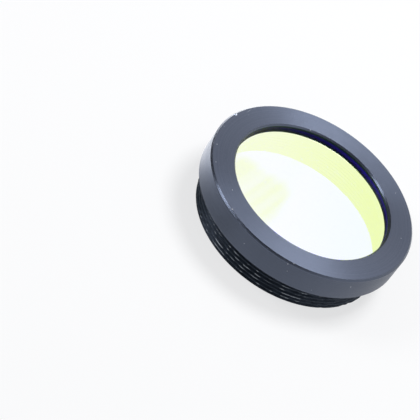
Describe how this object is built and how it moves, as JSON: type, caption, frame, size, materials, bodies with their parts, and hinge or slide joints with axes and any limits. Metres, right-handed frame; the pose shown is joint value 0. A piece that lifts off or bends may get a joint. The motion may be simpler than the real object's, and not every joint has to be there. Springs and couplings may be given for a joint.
{
  "type": "light pollution filter",
  "caption": "Round screw-in telescope eyepiece filter: a black turned cell with a male thread, a coated glass disc and a threaded retaining ring.",
  "frame": {"origin": "on the optical axis, in the plane of the thread's end, which the filter stands on", "axes": "+Z along the optical axis, from the thread's end to the front face; the knock on the front edge is at 167 degrees from +X towards +Y; the retaining ring's slots lie along X"},
  "size_m": [0.0312, 0.0312, 0.008],
  "materials": {
    "anodised_cell": "turned, black anodised, with fine tool marks, worn bright on the thread's crests",
    "coated_glass": "polished, with an interference coating that reflects yellow-green and passes violet-blue",
    "anodised_ring": "turned, matt black anodised"
  },
  "bodies": {
    "root": {"filter_cell": "anodised_cell", "filter_glass": "coated_glass", "retaining_ring": "anodised_ring"}
  },
  "joints": []
}
